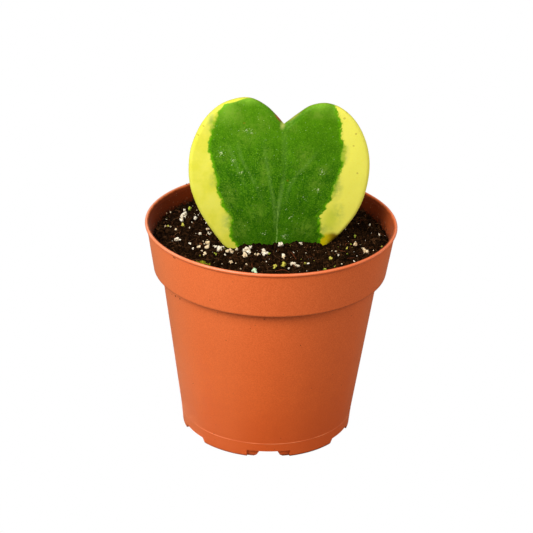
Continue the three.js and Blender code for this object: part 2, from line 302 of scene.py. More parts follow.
def random_turns(count, random):
    """One random rotation matrix for each of count pieces."""
    w, x, y, z = unit(random.normal(size=(count, 4))).T
    rows = [
        [1 - 2 * (y * y + z * z), 2 * (x * y - w * z), 2 * (x * z + w * y)],
        [2 * (x * y + w * z), 1 - 2 * (x * x + z * z), 2 * (y * z - w * x)],
        [2 * (x * z - w * y), 2 * (y * z + w * x), 1 - 2 * (x * x + y * y)],
    ]
    return np.array(rows).transpose(2, 0, 1)


# ---------------------------------------------------------------- tools for materials


def linear(colour):
    """A colour given as 0 to 255 on a screen, as the shader wants it."""

    def channel(value):
        share = value / 255
        return share / 12.92 if share <= 0.04045 else ((share + 0.055) / 1.055) ** 2.4

    return (*(channel(value) for value in colour), 1)


class Wire:
    """One output of a node. Arithmetic with wires and numbers adds the nodes for it."""

    def __init__(self, shader, socket):
        self.shader = shader
        self.socket = socket

    def __add__(self, other):
        return self.shader.math("ADD", self, other)

    def __sub__(self, other):
        return self.shader.math("SUBTRACT", self, other)

    def __rsub__(self, other):
        return self.shader.math("SUBTRACT", other, self)

    def __mul__(self, other):
        return self.shader.math("MULTIPLY", self, other)

    def __truediv__(self, other):
        return self.shader.math("DIVIDE", self, other)

    def __neg__(self):
        return self * -1

    def __abs__(self):
        return self.shader.math("ABSOLUTE", self)


class Shader:
    """A material's nodes. Each call adds a node and returns one of its outputs as a wire."""

    def __init__(self, name):
        self.material = bpy.data.materials.new(name)
        self.material.use_nodes = True
        self.tree = self.material.node_tree
        self.place = self.vector("SCALE", self.node("TexCoord", "Object"), scale=1 / MM)

    def feed(self, socket, value):
        if isinstance(value, Wire):
            self.tree.links.new(value.socket, socket)
        else:
            socket.default_value = value

    def node(self, kind, output, inputs=(), **settings):
        made = self.tree.nodes.new(f"ShaderNode{kind}")
        for key, value in settings.items():
            setattr(made, key, value)
        for key, value in dict(inputs).items():
            self.feed(made.inputs[key], value)
        return Wire(self, made.outputs[output])

    def attribute(self, name):
        return self.node("Attribute", "Fac", attribute_name=name)

    def vector(self, operation, a, b=(0, 0, 0), scale=1.0):
        output = "Value" if operation in ("DOT_PRODUCT", "LENGTH") else "Vector"
        return self.node("VectorMath", output, {0: a, 1: b, 3: scale}, operation=operation)

    def math(self, operation, a, b=0.0, clamp=False):
        return self.node("Math", 0, {0: a, 1: b}, operation=operation, use_clamp=clamp)

    def least(self, *values):
        return reduce(lambda a, b: self.math("MINIMUM", a, b), values)

    def most(self, *values):
        return reduce(lambda a, b: self.math("MAXIMUM", a, b), values)

    def rescale(self, value, low, high, to_low, to_high, **settings):
        ends = {"From Min": low, "From Max": high, "To Min": to_low, "To Max": to_high}
        return self.node("MapRange", "Result", {"Value": value, **ends}, **settings)

    def span(self, value, low, high, to_low=0.0, to_high=1.0):
        """The value mapped smoothly from between low and high to between two others."""
        return self.rescale(value, low, high, to_low, to_high, interpolation_type="SMOOTHSTEP")

    def noise(self, size, detail=3, roughness=0.55, place=None, output="Fac"):
        """Cloudy noise round 0.5, whose blobs are about as large as size."""
        look = {"Scale": 1 / size, "Detail": detail, "Roughness": roughness}
        return self.node("TexNoise", output, {"Vector": place or self.place, **look})

    def cells(self, size):
        """The distance to the nearest of many scattered points, in units of size."""
        return self.node("TexVoronoi", "Distance", {"Vector": self.place, "Scale": 1 / size})

    def mix(self, share, a, b):
        """From colour a to colour b: each a wire, or (red, green, blue) as on a screen."""
        a, b = (linear(colour) if isinstance(colour, tuple) else colour for colour in (a, b))
        return self.node("Mix", 2, {0: share, 6: a, 7: b}, data_type="RGBA")

    def split(self, vector):
        x = self.node("SeparateXYZ", "X", {0: vector})
        return [Wire(self, socket) for socket in x.socket.node.outputs]

    def point(self, x, y):
        return self.node("CombineXYZ", 0, {0: x, 1: y})

    def curve(self, value, points, span, out_span):
        """A drawn curve through points, straight from one to the next."""
        (low, high), (out_low, out_high) = span, out_span
        made = self.node("FloatCurve", 0, {"Value": self.rescale(value, low, high, 0, 1)})
        mapping = made.socket.node.mapping
        drawn = mapping.curves[0].points
        for _ in points[2:]:
            drawn.new(0.5, 0.5)
        for point, (x, y) in zip(drawn, points):
            point.location = ((x - low) / (high - low), (y - out_low) / (out_high - out_low))
            point.handle_type = "VECTOR"
        mapping.update()
        return self.rescale(made, 0, 1, out_low, out_high, clamp=False)

    def bump(self, height, distance):
        inputs = {"Height": height, "Distance": distance * MM, "Strength": 1}
        return self.node("Bump", "Normal", inputs)

    def finish(self, **values):
        """Sets the surface's inputs by name, with _ for a space, and returns the material."""
        surface = self.tree.nodes["Principled BSDF"]
        for key, value in values.items():
            self.feed(surface.inputs[key.replace("_", " ")], value)
        return self.material


# ---------------------------------------------------------------- pot


def collar_radius(height):
    """Radius of the collar's outside at a height, which may be a wire."""
    rise = POT.height - POT.lip_drop - POT.collar_foot_height
    flare = (POT.collar_top_radius - POT.collar_foot_radius) / rise
    return (height - POT.collar_foot_height) * flare + POT.collar_foot_radius


def collar_inner_radius(height):
    return collar_radius(height) - POT.wall


def bare_plastic(s, mottle, leftward, height):
    """Mottled, grained plastic, with painted sheen higher up and at both sides, painted shade lower
    down, and a painted highlight on the mould line.
    """
    grain = s.noise(0.5, roughness=0.7)
    colour = s.mix(s.span(mottle, 0.3, 0.7), (218, 95, 33), (225, 102, 37))
    # Paler toward the top: painted sheen from the light above.
    colour = s.mix(s.span(height, 15, 85, 0, 0.8), colour, (230, 112, 54))
    colour = s.mix(s.span(grain, 0.35, 0.65, 0, 0.7), colour, (206, 86, 28))
    # Darker toward the bottom: painted shade.
    colour = s.mix(s.span(height, 34, 4, 0, 0.6), colour, (206, 82, 20))
    # Paler and less saturated towards the left and right edges: painted sheen.
    painted_sheen_left = s.span(leftward, 0, 0.5, 0, 0.1) + s.span(leftward, 0.6, 1, 0, 0.22)
    painted_sheen_right = s.span(leftward, -0.8, -1, 0, 0.12)
    colour = s.mix(painted_sheen_left + painted_sheen_right, colour, (214, 136, 84))
    off_line = abs(height - POT.mould_line_height)
    # A paler, broken line along the mould line's ridge: painted highlight.
    mould_line = s.span(off_line, 0.24, 0.08) * s.span(s.noise(9, 2), 0.38, 0.62, 0.1, 0.5)
    return s.mix(mould_line, colour, (244, 150, 100))


def outside_dirt_and_shade(s, colour, x, height):
    """Painted shade on the foot's lower edge, dark specks, and painted shadow with dirt in the
    corner under the collar.
    """
    # A dark line along the foot's lower edge, stronger to the right: painted shade.
    foot_edge_shade = s.span(height, 1, 0.3, 0, 0.85) * s.span(x, -30, 10, 0.5)
    colour = s.mix(foot_edge_shade, colour, (90, 38, 10))
    specks = s.span(s.cells(3.1), 0.1, 0.05) * s.span(s.noise(9, 2), 0.55, 0.66)
    colour = s.mix(specks * 0.75, colour, (110, 48, 22))
    # A dark band round the corner under the collar: painted shadow, with noisy dirt spots in it.
    above_corner = height - POT.collar_foot_height
    corner = s.span(above_corner, -1.2, -0.1) * s.span(above_corner, 1.2, 0.2)
    colour = s.mix(corner * 0.4, colour, (120, 50, 8))
    dirt = corner * s.span(s.noise(1.1, 4, 0.7), 0.56, 0.7)
    return s.mix(dirt * 0.8, colour, (92, 44, 24))


def inside_stain_and_shade(s, colour, inside, x, depth, to_front):
    """A stain from the mix and painted shade darken the inside of the collar, with crust and dust
    nearer to the mix.
    """
    # Darker inside the collar, less so on the right wall where the light falls: a stain and painted
    # shade.
    stain = s.span(depth - s.noise(3, 4) * 1.2 + to_front, -0.6, 0.6, 0.1)
    stain = inside * stain * s.span(x, 43, 49.2, 1, 0.75)
    colour = s.mix(stain * 0.95, colour, (102, 32, 2))
    crust = inside * s.span(depth, 4, 8) * s.span(s.noise(1.2, 4), 0.38, 0.6)
    colour = s.mix(crust * 0.85, colour, (38, 22, 12))
    dust = s.span(s.cells(1.1), 0.22, 0.08) * s.span(s.noise(4), 0.4, 0.6)
    dust = inside * dust * s.span(depth, 1.5, 6, 0.3, 0.8)
    return s.mix(dust, colour, (184, 140, 108))


def pot_plastic():
    """Satin moulded plastic: painted sheen, shade and dirt outside, a stain and painted shade
    inside, and a painted highlight on the lip.
    """
    s = Shader("terracotta_plastic")
    x, y, height = s.split(s.place)
    from_axis = s.vector("LENGTH", s.point(x, y))
    mottle = s.noise(6, 5, 0.7)
    to_front = s.span(y, 46, -46)

    # The inside begins at the middle of the wall, and at the front on the lip's crest, so painted
    # shade darkens the inner slope of the front lip.
    within = collar_radius(height) - POT.wall / 2 - from_axis + to_front * 0.55
    in_collar = s.math("GREATER_THAN", height, POT.collar_foot_height)
    inside = s.span(within, 0, 0.2) * in_collar
    lip_middle = POT.height - POT.lip_radius
    lip = s.span(height, lip_middle - 0.1, lip_middle + 0.4) * (1 - inside)

    colour = bare_plastic(s, mottle, -x / from_axis, height)
    colour = outside_dirt_and_shade(s, colour, x, height)
    colour = inside_stain_and_shade(s, colour, inside, x, POT.height - height, to_front)
    # A paler lip, strongest on the left toward the key light: painted highlight.
    painted_lip_highlight = s.span(s.noise(7), 0.25, 0.7, 0.3, 0.7) * s.span(x, 45, -35, 0.2)
    colour = s.mix(lip * painted_lip_highlight, colour, (216, 141, 108))
    return s.finish(
        Base_Color=colour,
        Roughness=s.span(mottle, 0.3, 0.7, 0.56, 0.62) - lip * 0.24,
        Normal=s.bump(s.noise(0.45, 2) * 0.5 + s.noise(5, 2), 0.04),
        Specular_IOR_Level=s.span(inside, 0, 1, 0.44, 0.06),
        Sheen_Weight=0.1,
        Sheen_Roughness=0.25,
        Sheen_Tint=(1, 0.97, 0.85, 1),
    )


def pot_profile():
    wall, ridge, line = POT.wall, POT.mould_ridge, POT.mould_line_height
    ledge_top = POT.collar_foot_height + wall
    lip_under = POT.height - POT.lip_drop
    lip_centre = (POT.rim_radius - POT.lip_radius, POT.height - POT.lip_radius)
    lip = arc(lip_centre, POT.lip_radius, -50, 180, 20)
    corners = [
        (POT.middle_hole_radius, POT.floor_underside, 0.2),
        (POT.foot_inner_radius, POT.floor_underside, 0.4),
        (POT.foot_inner_radius, 0, 0.3),
        (POT.foot_radius, 0, 0.6),
        (POT.mould_line_radius, line - 1.2 * ridge, 0),
        (POT.mould_line_radius + 0.4 * ridge, line - 0.6 * ridge, 0),
        (POT.mould_line_radius + 0.4 * ridge, line + 0.6 * ridge, 0),
        (POT.mould_line_radius, line + 1.2 * ridge, 0),
        (POT.body_top_radius, POT.collar_foot_height, 0.35),
        (POT.collar_foot_radius, POT.collar_foot_height, 0.55),
        (POT.collar_top_radius, lip_under, 0.25),
        *[(*point, 0) for point in lip],
        (collar_inner_radius(lip_under), lip_under, 0.3),
        (collar_inner_radius(ledge_top), ledge_top, 0.6),
        (POT.body_top_radius - wall, ledge_top, 0.6),
        (POT.mould_line_radius - wall, POT.floor_top, 1.2),
        (POT.middle_hole_radius, POT.floor_top, 0.2),
    ]
    return braced(rounded(corners))


def turned_points(points, degrees):
    turn = np.array(Matrix.Rotation(math.radians(degrees), 3, "Z"))
    return np.asarray(points, float) @ turn.T


def recess_cutter():
    half = NOTCH.recess_half_angle
    outer = arc((0, 0), POT.foot_radius + 3, -90 - half, -90 + half, 30)
    inner = arc((0, 0), POT.foot_radius - NOTCH.recess_depth, -90 + half, -90 - half, 30)
    return prism(outer + inner, -1, NOTCH.height)


def gap_cutter(half_top, half_foot, height):
    """A gap through the foot: its sides slope, round off at the top and flare at the ground."""
    slope = (half_foot - half_top) / 2
    side = [
        (half_foot + 0.3, -1), (half_foot, 0), (half_foot - slope, height * 0.2),
        (half_top + 0.12, height - 0.5), (half_top - 0.1, height - 0.13), (half_top - 0.5, height),
    ]
    outline = side + [(-across, up) for across, up in reversed(side)]
    points, faces = prism(outline, 0, 1)
    depth = POT.foot_radius - POT.foot_inner_radius + 4
    near = POT.foot_inner_radius - 2
    return [(across, -(near + depth * out), up) for across, up, out in points], faces


def drain_cutter():
    outline = arc((0, -DRAIN.ring_radius), DRAIN.radius, 0, 350, 35)
    return prism(outline, POT.floor_underside - 2, POT.floor_top + 2)


def pot_cutters():
    """Each notch and drain hole as (points, faces), turned to its place."""
    cutters = []
    for index in range(NOTCH.count):
        if index % 2 == 0:
            shapes = [
                recess_cutter(),
                gap_cutter(NOTCH.gap_half_top, NOTCH.gap_half_foot, NOTCH.height),
            ]
        else:
            shapes = [gap_cutter(NOTCH.wide_half_top, NOTCH.wide_half_foot, NOTCH.wide_height)]
        angle = NOTCH.first_angle + 360 / NOTCH.count * index
        for points, faces in [*shapes, drain_cutter()]:
            cutters.append((turned_points(points, angle), faces))
    return cutters


def cut(piece, cutters):
    """Cuts shapes given as (points, faces) out of a piece."""
    tools = []
    for points, faces in cutters:
        mesh = make_mesh("cutter", points, faces)
        outward = bmesh.new()
        outward.from_mesh(mesh)
        bmesh.ops.recalc_face_normals(outward, faces=outward.faces)
        outward.to_mesh(mesh)
        outward.free()
        tool = link(bpy.data.objects.new("cutter", mesh))
        tools.append(tool)
        modifier = piece.modifiers.new("cut", "BOOLEAN")
        modifier.operation = "DIFFERENCE"
        modifier.solver = "EXACT"
        modifier.object = tool
    depsgraph = bpy.context.evaluated_depsgraph_get()
    result = bpy.data.meshes.new_from_object(piece.evaluated_get(depsgraph))
    piece.modifiers.clear()
    piece.data = result
    for tool in tools:
        bpy.data.objects.remove(tool)


def pot_radius(height):
    """Radius of the pot's outside at a height, or of the lip's crest on top of it."""
    if height >= POT.height:
        return POT.rim_radius - POT.lip_radius
    if height > POT.collar_foot_height:
        return collar_radius(height)
    heights = (POT.mould_line_height, POT.collar_foot_height)
    return float(np.interp(height, heights, (POT.mould_line_radius, POT.body_top_radius)))


def build_pot():
    points, faces = lathe(pot_profile(), POT.round_steps)
    pot = make_piece("nursery_pot", points, faces, pot_plastic())
    cut(pot, pot_cutters())
    pot.data.shade_smooth()
    pot.data.set_sharp_from_angle(angle=math.radians(POT.sharp_angle))
    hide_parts("pot")


# ---------------------------------------------------------------- leaf

YAW = math.radians(LEAF.yaw)
TILT = math.radians(LEAF.tilt)
LEVEL = np.array([math.cos(YAW), math.sin(YAW), 0])
UPRIGHT = np.array([0, 0, 1])
LEAF_FRONT = np.cross(LEVEL, UPRIGHT)
LEAF_ACROSS = LEVEL * math.cos(TILT) - UPRIGHT * math.sin(TILT)
LEAF_UP = LEVEL * math.sin(TILT) + UPRIGHT * math.cos(TILT)

# Where green turns to yellow, as (height above the mix, distance from the middle).
GREEN_LEFT = [
    (-10, -8.2), (-2, -13.3), (0.5, -15.6), (2.2, -16.6), (5.8, -17.1), (9.5, -17.1),
    (11.2, -17.8), (14.4, -20.5), (16.1, -21.6), (17.9, -21.7), (19.4, -23), (22.8, -24.6),
    (26.2, -24.5), (29.5, -26.2), (32.8, -26.9), (36.1, -28.1), (39.3, -29.6), (42.7, -29.2),
    (46.1, -28.9), (49.4, -28.5), (51.3, -27.7), (54.1, -26.8), (56.5, -25.5), (58.4, -23.7),
    (59.6, -21.5), (60.4, -19.2), (61.3, -16.6), (62, -12), (70, -12),
]
GREEN_RIGHT = [
    (-10, 12.6), (0.7, 20.2), (3.5, 20.2), (5.4, 21.4), (7, 19.6), (10, 19.2),
    (12.6, 19), (14.3, 18.1), (16.2, 19.4), (18, 20.4), (19.8, 20.6), (21.6, 22),
    (26.9, 22.8), (30.5, 23.4), (34, 24.4), (37.4, 24.9), (40.8, 24.2), (44.2, 24.4),
    (47.4, 23), (50.7, 22.5), (54, 22), (56.4, 20.9), (58.8, 20), (60.8, 18.9),
    (61.9, 16.6), (62.3, 14), (70, 14),
]
# Pale veins as (up, across), from the foot of the blade to where they fade.
MIDRIB_LINE = [
    (-4, 2.6), (3.3, 2.3), (9.7, 1.7), (14.8, 1.3),
    (19.9, 1.4), (28.7, 1.7), (34.8, 1.6), (49.3, -0.3),
]
SIDE_VEINS = [
    [
        (4, 1.6), (12, 0.6), (19.7, -1), (23.4, -2.2),
        (28.2, -3.6), (33, -4.9), (37.1, -6.2), (48.8, -9),
    ],
    [
        (16, -3.5), (27, -9.8), (29.3, -11.3), (32.2, -13.3),
        (36.1, -15.8), (40.2, -17.4), (46, -18.7),
    ],
    [(20, -10), (32.9, -17.7), (35.8, -18.9), (38.6, -20.3), (44, -22.5)],
    [(14, 2.5), (27.7, 5), (31.6, 6.9), (35.5, 9.8), (39.9, 12.7), (46, 15.5)],
]

MARGIN_ROWS = 9  # rows of points over the rounded margin
MARGIN = "margin"  # a number at each point of the leaf: 1 on the margin, 0 where it turns flat

# Ovals on the blade as ((across, up), (half width, half height)).
# Where painted sheen lies on the tops of the lobes.
PAINTED_TOP_SHEEN = [((-24, 56), (7, 9)), ((-17, 61), (10, 4)), ((12, 62), (10, 7)), ((21, 60), (7, 7))]
BLOOM = [
    ((-21, 54), (8, 8)), ((-15, 47), (9, 8)), ((-23, 37.6), (4, 6)), ((-13, 6), (6, 7)),
    ((13, 8.5), (7, 6)), ((15, 28), (5, 6)), ((17, 34), (5, 4)), ((-6, 33), (4, 15)),
    ((-7, 14), (6, 6)), ((-19, 20), (6, 8)), ((8.5, 39), (6, 8)), ((-9, 52), (5, 7)),
    ((2.5, 51), (4, 4)), ((12, 57), (8, 3)),
]
BLURRED_EDGES = [
    ((24.6, 41), (3.2, 6)), ((23.8, 27), (3.4, 8)), ((25.2, 15.5), (4.6, 7)),
    ((21.8, 9), (4, 6)), ((-18.6, 9), (3.4, 7)), ((-29, 50), (3.4, 7)), ((-26, 26), (2.4, 5)),
]
FLECKED = [
    ((-14.2, 48), (3.4, 2.4)), ((-7.5, 45.3), (1.6, 1.2)), ((-24, 37.8), (2.4, 2.6)),
    ((-19, 35.4), (2, 2.4)), ((-15.2, 30.4), (2.2, 2)), ((17, 33.5), (3.4, 2.6)),
    ((16, 25.8), (2.6, 2)), ((6.8, 13), (1.6, 2)), ((5.6, 4.4), (3.2, 2.2)), ((-3, 5), (2, 2)),
    ((4.7, 16.4), (1.4, 1.4)), ((11, 22), (1.6, 1.6)),
]
BROWN_SPOTS = [
    (-16, 61.5), (-33.9, 43.9), (-32.2, 47.9), (24.1, 58.4), (23, 56.4),
    (28.2, 45.1), (28.4, 50.1), (-16.4, 51.2), (3.4, 28.6), (31.2, 33.6),
]
UP_SPAN = (-10, 70)  # what the curves of GREEN_LEFT and the like reach in up
ACROSS_SPAN = (-40, 40)  # and in across


class LeafPlace:
    """Where a point lies on the leaf, as wires for its material."""

    def __init__(self, s):
        self.s = s
        from_foot = s.vector("SUBTRACT", s.place, LEAF.foot)
        self.across = s.vector("DOT_PRODUCT", from_foot, tuple(LEAF_ACROSS))
        self.up = s.vector("DOT_PRODUCT", from_foot, tuple(LEAF_UP))
        self.margin = s.attribute(MARGIN)
        wander, rove, _ = s.split(s.noise(2.2, 4, 0.65, output="Color"))
        self.wander = (wander - 0.5) * 0.9
        self.strayed_across = self.across + self.wander
        self.strayed_up = self.up + (rove - 0.5) * 1.6

    def streaks(self):
        """Faint streaks that run up from below the blade's foot and fan out into the lobes."""
        s, fan_across, fan_up = self.s, self.across - 2, self.up + 22
        bearing = s.math("ARCTAN2", fan_across, fan_up)
        run = s.vector("LENGTH", s.point(fan_across, fan_up))
        return s.noise(1, 4, 0.65, place=s.point(bearing * 26, run * 0.16))

    def patch(self, at, reach):
        """1 in the middle of an oval and 0 past its edge; at and reach are (across, up)."""
        strayed = self.s.point(self.strayed_across, self.strayed_up)
        away = self.s.vector("SUBTRACT", strayed, (*at, 0))
        away = self.s.vector("MULTIPLY", away, (1 / reach[0], 1 / reach[1], 0))
        return self.s.span(self.s.vector("LENGTH", away), 1, 0)

    def patches(self, ovals):
        return self.s.most(*[self.patch(at, reach) for at, reach in ovals])

    def line(self, up, points):
        """How far across a drawn line lies at a height on the blade."""
        return self.s.curve(up, points, UP_SPAN, ACROSS_SPAN)


def depth_in_green(s, leaf):
    """How deep a point lies in the green, whose edge is toothed; less than 0 in the yellow."""
    from_left = leaf.strayed_across - leaf.line(leaf.strayed_up, GREEN_LEFT)
    from_right = leaf.line(leaf.strayed_up, GREEN_RIGHT) - leaf.strayed_across
    teeth = (s.cells(1.5) - 0.42) * 1.15 + (s.noise(0.6, 2) - 0.5) * 0.9
    return s.least(from_left, from_right) + teeth


def vein(s, leaf, line, half_width, low, high, strength):
    """A pale line that wavers a little and fades from low to high (in up)."""
    off = abs(leaf.across - leaf.line(leaf.up, line) + leaf.wander)
    return s.span(off, half_width, half_width * 0.15) * s.span(leaf.up, high, low, 0, strength)


def veins(s, leaf):
    """The midrib, fine at its foot and wide and faint above, and the side veins."""
    broken = s.span(s.noise(1.4, roughness=0.7), 0.34, 0.56, 0.2)
    parts = [
        vein(s, leaf, MIDRIB_LINE, 0.5, 14, 27, 0.7) * broken,
        vein(s, leaf, MIDRIB_LINE, 1.4, 18, 40, 0.28) * s.span(leaf.up, 10, 18),
        vein(s, leaf, MIDRIB_LINE, 2, 46, 52, 0.12) * s.span(leaf.up, 26, 44),
    ]
    for line in SIDE_VEINS:
        faint = vein(s, leaf, line, 1.3, line[-3][0], line[-1][0], 0.22) * broken
        parts.append(faint * s.span(leaf.up, line[0][0], line[1][0]))
    return s.most(*parts)


def leaf_green(s, leaf, depth, cloud):
    """Streaky green with a greyish bloom, painted sheen on the lobes' tops, a brighter fringe and
    pale veins.
    """
    fine = s.noise(0.55, roughness=0.8)
    streaks = leaf.streaks()
    tone = cloud * 0.6 + streaks * 0.4
    green = s.mix(s.span(tone, 0.4, 0.6), (36, 92, 0), (58, 116, 0))
    green = s.mix(s.span(fine, 0.49, 0.68, 0, 0.7), green, (112, 160, 30))
    green = s.mix(s.span(fine, 0.5, 0.32, 0, 0.7), green, (24, 68, 0))
    green = s.mix(s.span(leaf.up, 24, 60, 0, 0.5), green, (86, 144, 0))
    green = s.mix(s.span(leaf.up, 34, -4, 0, 0.5), green, (38, 82, 0))
    veil = s.noise(1.3, 5, 0.78) * 0.7 + streaks * 0.3
    # Paler green on the tops of the lobes: painted sheen.
    painted_top_sheen = leaf.patches(PAINTED_TOP_SHEEN) * s.span(veil, 0.38, 0.62, 0.45, 0.8)
    green = s.mix(painted_top_sheen, green, (132, 184, 50))
    bloom = (leaf.patches(BLOOM) * 0.62 + 0.06) * s.span(veil, 0.4, 0.6)
    green = s.mix(bloom, green, (106, 144, 38))
    fringe = s.span(depth, 2, 0.2) * s.span(s.noise(2.2), 0.34, 0.55, 0.3)
    green = s.mix(fringe * 0.9, green, (94, 162, 0))
    return s.mix(veins(s, leaf), green, (124, 164, 72))


def leaf_yellow(s, leaf, depth, blurred):
    """Yellow with soft green tinges where it meets the green, and a stain at the mix."""
    yellow = s.mix(s.span(s.noise(8, 4), 0.35, 0.65), (208, 207, 66), (217, 215, 86))
    yellow = s.mix(s.span(leaf.across, -20, 30, 0, 0.8), yellow, (236, 233, 97))
    yellow = s.mix(s.span(s.noise(1), 0.5, 0.75, 0, 0.3), yellow, (228, 216, 60))
    tinge = blurred * s.span(s.noise(3.2, 5, 0.7), 0.28, 0.68)
    yellow = s.mix(tinge * 0.9, yellow, (152, 172, 80))
    near_green = s.span(depth, -1.2, -0.1) * s.span(s.noise(2.8, 2), 0.4, 0.6, 0.1, 0.6)
    near_green = s.most(near_green, leaf.patch((22.8, 13), (6, 10)) * 0.8)
    yellow = s.mix(near_green, yellow, (196, 206, 60))
    stained = s.span(leaf.patch((24.4, 2.8), (7.6, 6.2)), 0.05, 0.5)
    stained = stained * s.span(s.noise(2, 4), 0.25, 0.5, 0.6)
    stain = s.mix(s.span(leaf.across, 21.5, 25.5), (204, 188, 10), (120, 98, 6))
    return s.mix(stained, yellow, stain)


def pale_flecks(s, leaf, colour, is_green):
    """Pale flecks and scratches on the green, thickest in a few places."""
    slanted = s.point(leaf.across + leaf.up, leaf.up - leaf.across)
    slanted = s.vector("MULTIPLY", slanted, (0.5, 1.3, 1))
    flecks = s.noise(0.8, 2, 0.6, place=slanted) + leaf.patches(FLECKED) * 0.17
    return s.mix(s.span(flecks, 0.67, 0.78) * is_green * 0.85, colour, (194, 214, 156))


def margin_marks(s, leaf, colour, yellow):
    """A yellow run over the left lobe, an olive line of painted shade all round, and marks at the
    notch, one of them a painted highlight.
    """
    run_reach = leaf.patch((-22, 60), (10, 7))
    run = s.span(leaf.margin + run_reach * 0.8, 0.98, 1.2) * s.span(run_reach, 0, 0.2)
    colour = s.mix(run, colour, yellow)
    # An olive line all round the rounded margin: painted shade.
    colour = s.mix(s.span(leaf.margin, 0.6, 0.95) * 0.3, colour, (150, 140, 40))
    scar = s.span(leaf.margin, 0.3, 0.7) * leaf.patch((-3, 54.2), (3.2, 3.4))
    colour = s.mix(scar * 0.95, colour, (150, 66, 42))
    # A pale line on the notch's right edge: painted highlight.
    notch_edge_highlight = s.span(leaf.margin, 0.3, 0.8) * leaf.patch((3, 55), (5, 5))
    colour = s.mix(notch_edge_highlight * 0.4, colour, (190, 176, 90))
    return s.mix(leaf.patch((-1.2, 51.4), (1.6, 2.4)) * 0.6, colour, (196, 200, 106))


def leaf_skin():
    """Thick waxy skin: green with a greyish bloom, and jagged yellow margins."""
    s = Shader("leaf_skin")
    leaf = LeafPlace(s)
    cloud = s.noise(5, 5, 0.68)
    depth = depth_in_green(s, leaf)
    blurred = leaf.patches(BLURRED_EDGES)
    softness = blurred * 1.5 + 0.42
    is_green = s.span(depth, -softness, softness)
    yellow = leaf_yellow(s, leaf, depth, blurred)
    colour = s.mix(is_green, yellow, leaf_green(s, leaf, depth, cloud))
    colour = pale_flecks(s, leaf, colour, is_green)
    colour = margin_marks(s, leaf, colour, yellow)
    spots = leaf.patches([(at, (0.7, 0.6)) for at in BROWN_SPOTS])
    colour = s.mix(s.span(spots, 0.1, 0.5) * 0.38, colour, (128, 88, 14))
    return s.finish(
        Base_Color=colour,
        Roughness=s.span(cloud, 0.3, 0.7, 0.44, 0.56),
        Normal=s.bump(s.noise(3.5) + s.noise(0.5, 2) * 0.25, 0.1),
        Specular_IOR_Level=0.08,
        Subsurface_Weight=0.1,
        Subsurface_Scale=0.0012,
        Subsurface_Radius=(0.8, 1.0, 0.2),
    )


def spline_through(points, steps):
    """Evenly spaced points on the smooth curve through some points."""
    points = np.array(points, float)
    padded = np.concatenate([points[:1], points, points[-1:]])
    t = np.linspace(0, 1, 40, endpoint=False)[:, None]
    dense = []
    for i in range(len(points) - 1):
        p0, p1, p2, p3 = padded[i : i + 4]
        v0, v1 = (p2 - p0) / 2, (p3 - p1) / 2
        cubic = 2 * (p1 - p2) + v0 + v1
        square = 3 * (p2 - p1) - 2 * v0 - v1
        dense.append(cubic * t**3 + square * t**2 + v0 * t + p1)
    dense = np.concatenate([*dense, points[-1:]])
    run = np.concatenate([[0], np.cumsum(np.linalg.norm(np.diff(dense, axis=0), axis=1))])
    even = np.linspace(0, run[-1], steps + 1)
    return np.stack([np.interp(even, run, dense[:, k]) for k in (0, 1)], -1)


def heart_outline():
    """Points round the heart, from the notch down the right side and back up the left."""
    right = spline_through(LEAF_RIGHT, LEAF.steps_per_side)
    left = spline_through(LEAF_LEFT, LEAF.steps_per_side)[::-1]
    return np.concatenate([right[:-1], left[:-1]])


def inset(outline, distance):
    """The outline moved in from the margin."""
    along = unit(np.roll(outline, -1, axis=0) - np.roll(outline, 1, axis=0))
    return outline + distance * np.stack([along[:, 1], -along[:, 0]], -1)


def midrib_across(up):
    share = np.clip(up / LEAF.notch_up, 0, 1)
    below_mix = np.clip(up / LEAF.midrib_foot, 0, 1)
    return LEAF.midrib_side * (1 - below_mix) - LEAF.midrib_swing * share**3


def leaf_points(flat, out):
    """Points of the leaf from (across, up) and their distances in front of its middle."""
    across, up = flat[:, :1], flat[:, 1:]
    sideways = (across / LEAF.bow_half_width) ** 2
    lengthways = ((up - LEAF.bow_middle) / LEAF.bow_half_height) ** 2
    forward = np.reshape(out, (-1, 1)) - LEAF.bow * (sideways + lengthways)
    return LEAF.foot + across * LEAF_ACROSS + up * LEAF_UP + forward * LEAF_FRONT


def face_distance(flat, half):
    """How far a face lies from the blade's middle: less along the midrib, and uneven."""
    aside = (flat[:, 0] - midrib_across(flat[:, 1])) / LEAF.midrib_half_width
    trough = LEAF.midrib_depth * np.exp(-(aside**2))
    waves = [noise.noise(Vector((a / 7, u / 9, half))) for a, u in flat]
    return half - np.minimum(trough, half / 2) + LEAF.unevenness * np.array(waves) * (half > 1)


def blade_rows(outline, midrib):
    """Rows of (across, up) with half the thickness there, from the margin to the midrib."""
    rows = []
    edge_half = LEAF.edge_half_thickness
    for turn in np.radians(np.linspace(10, 90, MARGIN_ROWS)):
        flat = inset(outline, (1 - math.cos(turn)) * LEAF.edge_round)
        rows.append((flat, edge_half * math.sin(turn)))
    inner = rows[-1][0]
    for share in np.linspace(1, 0, LEAF.steps_to_midrib + 1)[1:-1]:
        swell = (edge_half - LEAF.half_thickness) * share**2
        rows.append((midrib + (inner - midrib) * share, LEAF.half_thickness + swell))
    return rows


